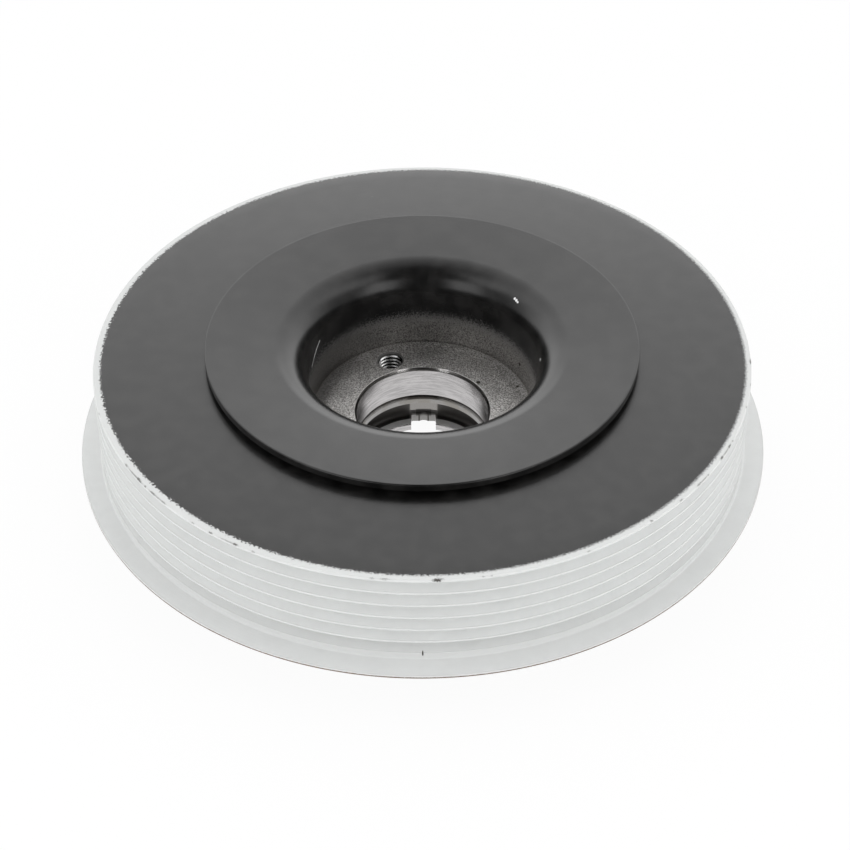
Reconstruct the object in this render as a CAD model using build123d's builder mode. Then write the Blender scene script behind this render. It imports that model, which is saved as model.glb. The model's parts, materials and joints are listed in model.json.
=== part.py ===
from build123d import *

import os
from math import radians, tan

# Harmonic balancer: a hub that bolts to the crankshaft's nose, an inertia ring that carries the belt
# track, and a rubber ring pressed between them.
#
# Millimetres. The origin is the centre of the hub's rear face, which bears on the crankshaft.
# +Z is the turning axis, towards the front disc. The keyway is on +Y.

# ---- pulley ring: belt track ----
rib_count = 6
rib_pitch = 3.56
groove_angle = 40.0
crest_flat = 0.5
root_flat = 0.55
track_radius = 76.15

# ---- pulley ring: guide flange, rim and front face ----
ring_standoff = 11.6
flange_radius = 81.0
flange_edge = 0.8
flange_rise = 0.6
flange_foot_height = 1.2
flange_foot_fillet = 0.5
top_land = 0.5
rim_bevel_width = 5.25
rim_bevel_drop = 0.28
rim_edge_fillet = 0.4
ring_bore_radius = 47.0
ring_bore_chamfer = 0.5
rear_corner_chamfer = 0.3

# ---- rubber ring ----
rubber_thickness = 4.0
rubber_setback = 1.2
rubber_hollow = 0.5

# ---- hub: front disc, dished towards the cup, and skirt ----
disc_radius = 50.3
disc_edge_thickness = 1.9
disc_gap = 1.0
disc_edge_fillet = 0.35
disc_dish = 1.05
disc_plate_thickness = 4.2
skirt_thickness = 4.5
skirt_setback = 0.8
skirt_chamfer = 0.6
pocket_fillet = 2.0
pocket_fillet_share = 0.45

# ---- hub: cup, whose floor rises a little to its wall ----
cup_depth = 21.04
cup_base_radius = 26.1
cup_draft = 5.0
cup_base_wall = 6.0
cup_outer_draft = 3.0
cup_floor_rise = 0.3
cup_floor_rise_width = 2.4
cup_floor_fillet = 4.0
flare_radius = 7.4

# ---- hub: rear boss ----
boss_radius = 26.5
boss_chamfer = 1.0
boss_fillet = 2.0
web_thickness = 8.0
web_corner_fillet = 2.5

# ---- hub: stepped bore, from the rear face forward ----
crank_bore_radius = 14.0
crank_bore_length = 2.2
crank_bore_chamfer = 0.3
groove_radius = 17.9
groove_length = 5.3
groove_fillet = 1.0
collar_radius = 15.4
collar_lip = 1.4
collar_cone_height = 0.75
corner_groove_depth = 0.15
corner_groove_width = 0.25
bolt_recess_radius = 15.65
bolt_recess_fillet = 0.55

# ---- hub: keyway and puller holes ----
keyway_width = 6.1
keyway_depth = 3.4
keyway_corner_radius = 0.6
key_relief_radius = 1.6
key_relief_depth = 0.35
puller_circle_radius = 20.5
puller_hole_count = 2
puller_hole_angle = 113.15
puller_hole_radius = 3.0
puller_hole_depth = 9.0
puller_hole_chamfer = 0.3
puller_drill_angle = 118.0

# ---- heights of the pulley ring, from the hub's rear face ----
ring_rear = ring_standoff
flange_root = ring_rear + flange_edge + flange_rise
track_bottom = flange_root + flange_foot_height
track_top = track_bottom + rib_count * rib_pitch
rim_top = track_top + top_land
ring_front = rim_top + rim_bevel_drop

# ---- radii and heights of the hub ----
skirt_outer = ring_bore_radius - rubber_thickness
skirt_inner = skirt_outer - skirt_thickness
skirt_rear = ring_rear + skirt_setback
disc_rear = ring_front + disc_gap
disc_front = disc_rear + disc_edge_thickness
plate_rear = disc_front - disc_plate_thickness
cup_floor = disc_front - cup_depth
web_rear = cup_floor - web_thickness
mouth_height = disc_front - disc_dish
wall_base = cup_floor + cup_floor_rise
cup_mouth_radius = cup_base_radius + (mouth_height - wall_base) * tan(radians(cup_draft))
cup_outer_rear = cup_base_radius + cup_base_wall
cup_outer_front = cup_outer_rear + (plate_rear - web_rear) * tan(radians(cup_outer_draft))
pocket_width = skirt_inner - cup_outer_front
pocket_corner_fillet = min(pocket_fillet, pocket_width * pocket_fillet_share)

# ---- heights of the stepped bore ----
groove_front = crank_bore_length + groove_length
collar_front = groove_front + collar_lip
cone_front = collar_front + collar_cone_height
corner_groove_front = cone_front + corner_groove_width


def corner_points(corners):
    """Points of a half section, from corners given as (radius, height, fillet)."""
    return [(radius, height) for radius, height, _ in corners]


def corner_fillets(corners):
    """Fillets of a half section, from corners given as (radius, height, fillet)."""
    return [fillet_radius for _, _, fillet_radius in corners]


# ---- pulley ring ----
groove_mouth = rib_pitch - crest_flat
groove_depth = (groove_mouth - root_flat) / 2 / tan(radians(groove_angle / 2))
root_radius = track_radius - groove_depth

ring_corners = [
    (ring_bore_radius + ring_bore_chamfer, ring_rear, 0),
    (flange_radius - rear_corner_chamfer, ring_rear, 0),
    (flange_radius, ring_rear + rear_corner_chamfer, 0),
    (flange_radius, ring_rear + flange_edge, 0),
    (track_radius, flange_root, flange_foot_fillet),
    (track_radius, rim_top, rim_edge_fillet),
    (track_radius - rim_bevel_width, ring_front, 0),
    (ring_bore_radius + ring_bore_chamfer, ring_front, 0),
    (ring_bore_radius, ring_front - ring_bore_chamfer, 0),
    (ring_bore_radius, ring_rear + ring_bore_chamfer, 0),
]

with BuildPart() as pulley_ring:
    with BuildSketch(Plane.XZ):
        with BuildLine():
            FilletPolyline(*corner_points(ring_corners), radius=corner_fillets(ring_corners), close=True)
        make_face()
        for rib in range(rib_count):
            middle = track_bottom + (rib + 0.5) * rib_pitch
            with BuildLine():
                Polyline(
                    (track_radius, middle - groove_mouth / 2),
                    (root_radius, middle - root_flat / 2),
                    (root_radius, middle + root_flat / 2),
                    (track_radius, middle + groove_mouth / 2),
                    close=True,
                )
            make_face(mode=Mode.SUBTRACT)
    revolve(axis=Axis.Z)

# ---- rubber ring: both ends are drawn in between the bonded walls ----
rubber_rear = ring_rear + rubber_setback
rubber_front = ring_front - rubber_setback
rubber_middle_radius = (skirt_outer + ring_bore_radius) / 2

with BuildPart() as rubber_ring:
    with BuildSketch(Plane.XZ):
        with BuildLine():
            Line((skirt_outer, rubber_rear), (skirt_outer, rubber_front))
            ThreePointArc(
                (skirt_outer, rubber_front),
                (rubber_middle_radius, rubber_front - rubber_hollow),
                (ring_bore_radius, rubber_front),
            )
            Line((ring_bore_radius, rubber_front), (ring_bore_radius, rubber_rear))
            ThreePointArc(
                (ring_bore_radius, rubber_rear),
                (rubber_middle_radius, rubber_rear + rubber_hollow),
                (skirt_outer, rubber_rear),
            )
        make_face()
    revolve(axis=Axis.Z)

# ---- hub: one turned section, from the rear face round the outside, through the cup to the bore ----
hub_corners = [
    (crank_bore_radius + crank_bore_chamfer, 0, 0),
    (boss_radius - boss_chamfer, 0, 0),
    (boss_radius, boss_chamfer, 0),
    (boss_radius, web_rear, boss_fillet),
    (cup_outer_rear, web_rear, web_corner_fillet),
    (cup_outer_front, plate_rear, pocket_corner_fillet),
    (skirt_inner, plate_rear, pocket_corner_fillet),
    (skirt_inner, skirt_rear + skirt_chamfer, 0),
    (skirt_inner + skirt_chamfer, skirt_rear, 0),
    (skirt_outer - skirt_chamfer, skirt_rear, 0),
    (skirt_outer, skirt_rear + skirt_chamfer, 0),
    (skirt_outer, disc_rear, 0),
    (disc_radius, disc_rear, disc_edge_fillet),
    (disc_radius, disc_front, disc_edge_fillet),
    (cup_mouth_radius, mouth_height, flare_radius),
    (cup_base_radius, wall_base, 0),
    (cup_base_radius - cup_floor_rise_width, cup_floor, cup_floor_fillet),
    (bolt_recess_radius, cup_floor, bolt_recess_fillet),
    (bolt_recess_radius, corner_groove_front, 0),
    (bolt_recess_radius + corner_groove_depth, corner_groove_front, 0),
    (bolt_recess_radius + corner_groove_depth, cone_front, 0),
    (bolt_recess_radius, cone_front, 0),
    (collar_radius, collar_front, 0),
    (collar_radius, groove_front, 0),
    (groove_radius, groove_front, 0),
    (groove_radius, crank_bore_length, groove_fillet),
    (crank_bore_radius + crank_bore_chamfer, crank_bore_length, 0),
    (crank_bore_radius, crank_bore_length - crank_bore_chamfer, 0),
    (crank_bore_radius, crank_bore_chamfer, 0),
]
keyway_back = crank_bore_radius + keyway_depth
keyway_front = crank_bore_length + groove_length / 2
drill_tip = puller_hole_radius / tan(radians(puller_drill_angle / 2))

with BuildPart() as hub:
    with BuildSketch(Plane.XZ):
        with BuildLine():
            FilletPolyline(*corner_points(hub_corners), radius=corner_fillets(hub_corners), close=True)
        make_face()
    revolve(axis=Axis.Z)

    # Keyway with a round relief in its back, broached from the rear face into the run-out groove.
    with BuildSketch(Plane.XY) as keyway:
        with Locations((0, keyway_back / 2)):
            Rectangle(keyway_width, keyway_back)
        fillet(keyway.vertices().group_by(Axis.Y)[-1], keyway_corner_radius)
        with Locations((0, keyway_back + key_relief_depth - key_relief_radius)):
            Circle(key_relief_radius)
    extrude(amount=keyway_front, mode=Mode.SUBTRACT)

    # Blind puller holes in the cup's floor, at the thread's outer radius, each with a drill's tip.
    with Locations(Plane.XY.offset(cup_floor)):
        with PolarLocations(puller_circle_radius, puller_hole_count, start_angle=puller_hole_angle):
            CounterSinkHole(
                puller_hole_radius,
                counter_sink_radius=puller_hole_radius + puller_hole_chamfer,
                depth=puller_hole_depth,
                counter_sink_angle=90,
            )
    with Locations(Plane.XY.offset(cup_floor - puller_hole_depth)):
        with PolarLocations(puller_circle_radius, puller_hole_count, start_angle=puller_hole_angle):
            Cone(
                bottom_radius=0,
                top_radius=puller_hole_radius,
                height=drill_tip,
                align=(Align.CENTER, Align.CENTER, Align.MAX),
                mode=Mode.SUBTRACT,
            )

hub.part.label = "hub"
rubber_ring.part.label = "rubber_ring"
pulley_ring.part.label = "pulley_ring"

os.makedirs("parts", exist_ok=True)
export_step(hub.part, "parts/hub.step")
export_step(rubber_ring.part, "parts/rubber_ring.step")
export_step(pulley_ring.part, "parts/pulley_ring.step")
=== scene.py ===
import json
import math

import bmesh
import bpy
from mathutils import Matrix, Vector


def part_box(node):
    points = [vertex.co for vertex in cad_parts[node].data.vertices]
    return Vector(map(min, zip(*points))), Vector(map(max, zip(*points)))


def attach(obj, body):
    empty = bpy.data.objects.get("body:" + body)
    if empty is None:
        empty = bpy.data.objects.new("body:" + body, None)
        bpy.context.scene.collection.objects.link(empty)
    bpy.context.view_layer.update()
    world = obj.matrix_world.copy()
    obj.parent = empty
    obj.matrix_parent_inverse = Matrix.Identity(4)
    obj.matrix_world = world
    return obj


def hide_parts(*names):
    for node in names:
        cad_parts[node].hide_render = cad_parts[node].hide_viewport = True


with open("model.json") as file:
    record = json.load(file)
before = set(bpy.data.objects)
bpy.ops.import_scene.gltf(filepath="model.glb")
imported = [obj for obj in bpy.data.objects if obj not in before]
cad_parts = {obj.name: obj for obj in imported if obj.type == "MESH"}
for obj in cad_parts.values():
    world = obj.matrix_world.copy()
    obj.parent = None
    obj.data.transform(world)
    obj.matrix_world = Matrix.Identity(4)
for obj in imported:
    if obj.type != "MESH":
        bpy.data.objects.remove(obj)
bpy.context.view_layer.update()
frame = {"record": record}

# A crankshaft damper pulley that stands on the rear boss of its hub, +Z up, +Y through the keyway.
# Sizes are in millimetres; MM turns them into Blender's metres.
MM = 0.001

# ---- pulley ring ----
RIB_COUNT = 6
RIB_PITCH = 3.56
GROOVE_ANGLE = 40.0
CREST_FLAT = 0.5
ROOT_FLAT = 0.55
CREST_ROUND = 0.14
ROOT_ROUND = 0.2
TRACK_RADIUS = 76.15
FLANGE_EDGE = 0.8
FLANGE_RISE = 0.6
FLANGE_FOOT_HEIGHT = 1.2
FLANGE_FOOT_FILLET = 0.5
FLANGE_CORNER = 0.2
RIM_BEVEL_WIDTH = 5.25
RIM_BEVEL_DROP = 0.28
RIM_EDGE_FILLET = 0.4
RING_BORE_CHAMFER = 0.5
PAINT_EDGE_RADIUS = 74.85

# ---- rubber ring ----
RUBBER_THICKNESS = 4.0
RUBBER_HOLLOW = 0.5

# ---- hub ----
DISC_GAP = 1.0
DISC_EDGE_THICKNESS = 1.9
DISC_EDGE_FILLET = 0.35
DISC_PLATE_THICKNESS = 4.2
SKIRT_THICKNESS = 4.5
SKIRT_SETBACK = 0.8
SKIRT_CHAMFER = 0.6
INNER_CORNER_FILLET = 2.0
DISC_DISH = 1.05
CUP_DEPTH = 21.04
CUP_BASE_RADIUS = 26.1
CUP_DRAFT = 5.0
CUP_BASE_WALL = 6.0
CUP_OUTER_DRAFT = 3.0
CUP_FLOOR_RISE = 0.3
CUP_FLOOR_RISE_WIDTH = 2.4
CUP_FLOOR_FILLET = 4.0
FLARE_RADIUS = 7.4
BOSS_RADIUS = 26.5
BOSS_CHAMFER = 1.0
BOSS_FILLET = 2.0
WEB_THICKNESS = 8.0
WEB_CORNER_FILLET = 2.5
CRANK_BORE_LENGTH = 2.2
CRANK_BORE_CHAMFER = 0.3
GROOVE_RADIUS = 17.9
GROOVE_LENGTH = 5.3
GROOVE_FILLET = 1.0
COLLAR_RADIUS = 15.4
COLLAR_LIP = 1.4
COLLAR_CONE_HEIGHT = 0.75
CORNER_GROOVE_DEPTH = 0.15
CORNER_GROOVE_WIDTH = 0.25
RECESS_EDGE_WIDTH = 0.42
RECESS_EDGE_DEPTH = 0.73
RECESS_EDGE_ROUND = 0.12
KEYWAY_WIDTH = 6.1
KEYWAY_DEPTH = 3.4
KEYWAY_CORNER_RADIUS = 0.6
KEY_RELIEF_RADIUS = 1.6
KEY_RELIEF_DEPTH = 0.35
PULLER_HOLE_ANGLE = 113.15
PULLER_HOLE_DEPTH = 9.0
PULLER_HOLE_CHAMFER = 0.3
PULLER_DRILL_ANGLE = 118.0
THREAD_PITCH = 1.0
THREAD_DEPTH = 0.5
THREAD_SEAT = 0.06
THREAD_RUNOUT = 2.0
THREAD_ROOT_SHARE = 0.42
THREAD_CREST_SHARE = 0.08
THREAD_FADE_STEPS = 12

# ---- sizes read from the frame ----
mounts = {mount["name"]: mount for mount in frame["record"]["mounts"]}
hub_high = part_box("hub")[1]
ring_low, ring_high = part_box("pulley_ring")
rubber_low, rubber_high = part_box("rubber_ring")
DISC_RADIUS = hub_high.x / MM
FLANGE_RADIUS = ring_high.x / MM
RING_REAR = ring_low.z / MM
RING_FRONT = ring_high.z / MM
RING_BORE_RADIUS = rubber_high.x / MM
RUBBER_REAR = rubber_low.z / MM
RUBBER_FRONT = rubber_high.z / MM
DISC_FRONT = RING_FRONT + DISC_GAP + DISC_EDGE_THICKNESS
CUP_FLOOR = DISC_FRONT - CUP_DEPTH
CRANK_BORE_RADIUS = mounts["crank_bore"]["dims"]["r_mm"]
BOLT_RECESS_RADIUS = mounts["bolt_recess"]["dims"]["r_mm"]
PULLER_CIRCLE_RADIUS = mounts["puller_holes"]["dims"]["pcd_mm"] / 2
PULLER_HOLE_COUNT = mounts["puller_holes"]["dims"]["count"]
PULLER_HOLE_RADIUS = mounts["puller_holes"]["dims"]["hole_r_mm"]

# ---- heights and a distance that follow from them ----
FLANGE_ROOT = RING_REAR + FLANGE_EDGE + FLANGE_RISE
WALL_BASE = CUP_FLOOR + CUP_FLOOR_RISE
GROOVE_FRONT = CRANK_BORE_LENGTH + GROOVE_LENGTH
COLLAR_FRONT = GROOVE_FRONT + COLLAR_LIP
CONE_FRONT = COLLAR_FRONT + COLLAR_CONE_HEIGHT
CORNER_GROOVE_FRONT = CONE_FRONT + CORNER_GROOVE_WIDTH
KEYWAY_BACK = CRANK_BORE_RADIUS + KEYWAY_DEPTH

# ---- mesh density ----
ARC_STEP = math.radians(15)
CREASE_ANGLE = math.radians(40)
HUB_SEGMENTS = 480
RING_SEGMENTS = 720
RUBBER_SEGMENTS = 240
RUBBER_END_STEPS = 8
RELIEF_SEGMENTS = 48
DRILL_SEGMENTS = 96
THREAD_TURN_STEPS = 64

# Cutters stand out by this much past the face they cut.
OVERRUN = 1.0


# ======== turned solids ========

def rounded_outline(corners):
    """Closed outline of (radius, height) points from (radius, height, fillet) corners."""
    points = []
    count = len(corners)
    for index, (radius, height, fillet) in enumerate(corners):
        corner = Vector((radius, height))
        if fillet == 0:
            points.append(corner)
            continue
        before = Vector(corners[index - 1][:2]) - corner
        after = Vector(corners[(index + 1) % count][:2]) - corner
        before.normalize()
        after.normalize()
        half_angle = before.angle(after) / 2
        reach = fillet / math.tan(half_angle)
        start = corner + before * reach
        middle = corner + (before + after).normalized() * (fillet / math.sin(half_angle))
        end = corner + after * reach
        first = math.atan2(start.y - middle.y, start.x - middle.x)
        last = math.atan2(end.y - middle.y, end.x - middle.x)
        turn = (last - first + math.pi) % (2 * math.pi) - math.pi
        steps = max(2, math.ceil(abs(turn) / ARC_STEP))
        for step in range(steps + 1):
            angle = first + turn * step / steps
            points.append(middle + fillet * Vector((math.cos(angle), math.sin(angle))))
    return points


def new_object(name, data):
    """Object of a mesh, lamp or camera, linked to the scene."""
    piece = bpy.data.objects.new(name, data)
    bpy.context.scene.collection.objects.link(piece)
    return piece


def solid(name, shell):
    """Mesh object of a closed shell, with its faces turned outwards."""
    bmesh.ops.recalc_face_normals(shell, faces=shell.faces)
    mesh = bpy.data.meshes.new(name)
    shell.to_mesh(mesh)
    shell.free()
    return new_object(name, mesh)


def lathe(name, outline, segments):
    """Mesh object of a closed outline turned round Z."""
    rows = len(outline)
    vertices = []
    for segment in range(segments):
        angle = 2 * math.pi * segment / segments
        across = math.cos(angle) * MM
        along = math.sin(angle) * MM
        for point in outline:
            vertices.append((point.x * across, point.x * along, point.y * MM))
    faces = []
    for segment in range(segments):
        here = segment * rows
        there = (segment + 1) % segments * rows
        for row in range(rows):
            above = (row + 1) % rows
            faces.append((here + row, there + row, there + above, here + above))
    draft = bpy.data.meshes.new(name)
    draft.from_pydata(vertices, [], faces)
    shell = bmesh.new()
    shell.from_mesh(draft)
    bpy.data.meshes.remove(draft)
    return solid(name, shell)


def prism(name, outline, low, high):
    """Closed prism of an (x, y) outline between two heights, used as a cutter."""
    shell = bmesh.new()
    bottom = [shell.verts.new((x * MM, y * MM, low * MM)) for x, y in outline]
    face = shell.faces.new(bottom)
    moved = bmesh.ops.extrude_face_region(shell, geom=[face])
    top = [item for item in moved["geom"] if isinstance(item, bmesh.types.BMVert)]
    bmesh.ops.translate(shell, verts=top, vec=(0, 0, (high - low) * MM))
    return solid(name, shell)


def cut(piece, cutter):
    """Subtracts a cutter from a piece and removes the cutter."""
    boolean = piece.modifiers.new("cut", "BOOLEAN")
    boolean.operation = "DIFFERENCE"
    boolean.solver = "EXACT"
    boolean.object = cutter
    apply_modifiers(piece)
    bpy.data.objects.remove(cutter)


def apply_modifiers(piece):
    """Replaces a piece's mesh by its evaluated mesh."""
    graph = bpy.context.evaluated_depsgraph_get()
    mesh = bpy.data.meshes.new_from_object(piece.evaluated_get(graph))
    piece.modifiers.clear()
    piece.data = mesh


def shade(piece):
    """Smooth shading with creases, and normals that keep the large faces flat."""
    mesh = piece.data
    for polygon in mesh.polygons:
        polygon.use_smooth = True
    mesh.set_sharp_from_angle(angle=CREASE_ANGLE)
    weighted = piece.modifiers.new("flat_faces", "WEIGHTED_NORMAL")
    weighted.keep_sharp = True
    apply_modifiers(piece)


# ======== materials ========

class Nodes:
    """Small helpers that add nodes to a tree and give back their outputs."""

    def __init__(self, tree):
        self.nodes = tree.nodes
        self.links = tree.links

    def put(self, socket, value):
        """Sets a socket to a value, or links it to an output."""
        if isinstance(value, bpy.types.NodeSocket):
            self.links.new(value, socket)
        else:
            socket.default_value = value

    def math(self, operation, a, b=0.0, c=0.0, clamp=False):
        """Result of an operation on up to three numbers."""
        node = self.nodes.new("ShaderNodeMath")
        node.operation = operation
        node.use_clamp = clamp
        for socket, value in zip(node.inputs, (a, b, c)):
            self.put(socket, value)
        return node.outputs[0]

    def split(self, a):
        """The three numbers of a vector."""
        node = self.nodes.new("ShaderNodeSeparateXYZ")
        self.links.new(a, node.inputs[0])
        return node.outputs

    def vector(self, operation, a, b=(0, 0, 0), scale=1.0):
        """Vector that results from an operation on one or two vectors."""
        node = self.nodes.new("ShaderNodeVectorMath")
        node.operation = operation
        self.put(node.inputs[0], a)
        self.put(node.inputs[1], b)
        node.inputs[3].default_value = scale
        return node.outputs[0]

    def length(self, a):
        """Length of a vector."""
        node = self.nodes.new("ShaderNodeVectorMath")
        node.operation = "LENGTH"
        self.put(node.inputs[0], a)
        return node.outputs[1]

    def combine(self, x, y, z):
        """Vector of three numbers."""
        node = self.nodes.new("ShaderNodeCombineXYZ")
        for socket, value in zip(node.inputs, (x, y, z)):
            self.put(socket, value)
        return node.outputs[0]

    def step(self, value, low, high, out_low=0.0, out_high=1.0):
        """Smooth step of a value from out_low at low to out_high at high."""
        node = self.nodes.new("ShaderNodeMapRange")
        node.interpolation_type = "SMOOTHSTEP"
        for socket, item in zip(node.inputs, (value, low, high, out_low, out_high)):
            self.put(socket, item)
        return node.outputs[0]

    def above(self, value, limit, soft):
        """Mask that is 1 above a limit and 0 below it, with a soft edge of a given width."""
        return self.step(value, limit - soft / 2, limit + soft / 2)

    def below(self, value, limit, soft):
        """Mask that is 1 below a limit and 0 above it, with a soft edge of a given width."""
        return self.step(value, limit + soft / 2, limit - soft / 2)

    def window(self, value, low, high, soft):
        """Mask that is 1 between two limits, with soft edges of a given width."""
        return self.both(self.above(value, low, soft), self.below(value, high, soft))

    def both(self, *masks):
        """Product of masks or numbers."""
        product = masks[0]
        for mask in masks[1:]:
            product = self.math("MULTIPLY", product, mask)
        return product

    def either(self, *masks):
        """Largest of several masks."""
        largest = masks[0]
        for mask in masks[1:]:
            largest = self.math("MAXIMUM", largest, mask)
        return largest

    def other(self, mask):
        """Mask turned round, 1 where it was 0."""
        return self.math("SUBTRACT", 1.0, mask, clamp=True)

    def swing(self, noise, amount):
        """A noise in 0..1 as a shift of up to half the amount either way."""
        return self.both(self.math("SUBTRACT", noise, 0.5), amount)

    def mix(self, mask, a, b):
        """Number a where the mask is 0 and b where it is 1."""
        node = self.nodes.new("ShaderNodeMix")
        self.put(node.inputs[0], mask)
        self.put(node.inputs[2], a)
        self.put(node.inputs[3], b)
        return node.outputs[0]

    def blend(self, mask, a, b, share=1.0):
        """Colour a where the mask is 0 and b, or a share of it over a, where it is 1."""
        node = self.nodes.new("ShaderNodeMix")
        node.data_type = "RGBA"
        self.put(node.inputs[0], mask if share == 1.0 else self.both(mask, share))
        for socket, value in ((node.inputs[6], a), (node.inputs[7], b)):
            self.put(socket, value if isinstance(value, bpy.types.NodeSocket) else (*value, 1))
        return node.outputs[2]


class Look(Nodes):
    """Material whose masks read a point's place and radius in mm, and its turn round Z in radians."""

    def __init__(self, name):
        self.material = bpy.data.materials.new(name)
        self.material.use_nodes = True
        super().__init__(self.material.node_tree)
        self.shader = self.nodes["Principled BSDF"]
        place = self.nodes.new("ShaderNodeTexCoord").outputs["Object"]
        self.place = self.vector("SCALE", place, scale=1 / MM)
        self.x, self.y, self.z = self.split(self.place)
        self.radius = self.math("SQRT", self.math("ADD", self.math("POWER", self.x, 2),
                                                  self.math("POWER", self.y, 2)))
        self.turn = self.math("ARCTAN2", self.y, self.x)

    def set(self, name, value):
        """Sets one of the shader's sockets, or links it to an output."""
        self.put(self.shader.inputs[name], value)

    def drawn_round(self, share):
        """Place for a noise whose grain is drawn out into rings round Z."""
        return self.combine(self.radius, self.both(self.turn, share), self.z)

    def noise(self, scale, detail=2.0, roughness=0.5, where=None):
        """Noise in 0..1."""
        node = self.nodes.new("ShaderNodeTexNoise")
        self.put(node.inputs["Vector"], self.place if where is None else where)
        node.inputs["Scale"].default_value = scale
        node.inputs["Detail"].default_value = detail
        node.inputs["Roughness"].default_value = roughness
        return node.outputs[0]

    def cells(self, scale):
        """Distance to the nearest of scattered points."""
        node = self.nodes.new("ShaderNodeTexVoronoi")
        self.put(node.inputs["Vector"], self.place)
        node.inputs[3].default_value = scale
        return node.outputs[0]

    def bump(self, height, distance, normal=None):
        """Bump of a height in 0..1 that stands for a distance in millimetres."""
        node = self.nodes.new("ShaderNodeBump")
        node.inputs["Distance"].default_value = distance * MM
        self.put(node.inputs["Height"], height)
        if normal is not None:
            self.put(node.inputs["Normal"], normal)
        return node.outputs[0]

    def wear(self, *pieces):
        """Dresses pieces in this material alone."""
        for piece in pieces:
            piece.data.materials.clear()
            piece.data.materials.append(self.material)


def grey(value, warm=0.0):
    """Linear grey with a little warmth."""
    return (value * (1 + warm), value, value * (1 - warm))


# ======== the three pieces ========

def ring_outline():
    """Section of the pulley ring, with worn crests and grooves cut by a form tool."""
    track_bottom = FLANGE_ROOT + FLANGE_FOOT_HEIGHT
    rim_top = RING_FRONT - RIM_BEVEL_DROP
    mouth = RIB_PITCH - CREST_FLAT
    depth = (mouth - ROOT_FLAT) / 2 / math.tan(math.radians(GROOVE_ANGLE / 2))
    root = TRACK_RADIUS - depth
    corners = [
        (RING_BORE_RADIUS + RING_BORE_CHAMFER, RING_REAR, 0),
        (FLANGE_RADIUS, RING_REAR, FLANGE_CORNER),
        (FLANGE_RADIUS, RING_REAR + FLANGE_EDGE, FLANGE_CORNER),
        (TRACK_RADIUS, FLANGE_ROOT, FLANGE_FOOT_FILLET),
    ]
    for rib in range(RIB_COUNT):
        middle = track_bottom + (rib + 0.5) * RIB_PITCH
        corners += [
            (TRACK_RADIUS, middle - mouth / 2, CREST_ROUND),
            (root, middle - ROOT_FLAT / 2, ROOT_ROUND),
            (root, middle + ROOT_FLAT / 2, ROOT_ROUND),
            (TRACK_RADIUS, middle + mouth / 2, CREST_ROUND),
        ]
    corners += [
        (TRACK_RADIUS, rim_top, RIM_EDGE_FILLET),
        (TRACK_RADIUS - RIM_BEVEL_WIDTH, RING_FRONT, 0),
        (RING_BORE_RADIUS + RING_BORE_CHAMFER, RING_FRONT, 0),
        (RING_BORE_RADIUS, RING_FRONT - RING_BORE_CHAMFER, 0),
        (RING_BORE_RADIUS, RING_REAR + RING_BORE_CHAMFER, 0),
    ]
    return rounded_outline(corners)


def rubber_outline():
    """Section of the rubber ring, whose ends are drawn in between the bonded walls."""
    inner = RING_BORE_RADIUS - RUBBER_THICKNESS
    points = []
    for end, inward, first, last in ((RUBBER_FRONT, -1, inner, RING_BORE_RADIUS),
                                     (RUBBER_REAR, 1, RING_BORE_RADIUS, inner)):
        for step in range(RUBBER_END_STEPS + 1):
            share = step / RUBBER_END_STEPS
            hollow = RUBBER_HOLLOW * 4 * share * (1 - share)
            points.append(Vector((first + (last - first) * share, end + inward * hollow)))
    return points


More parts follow.
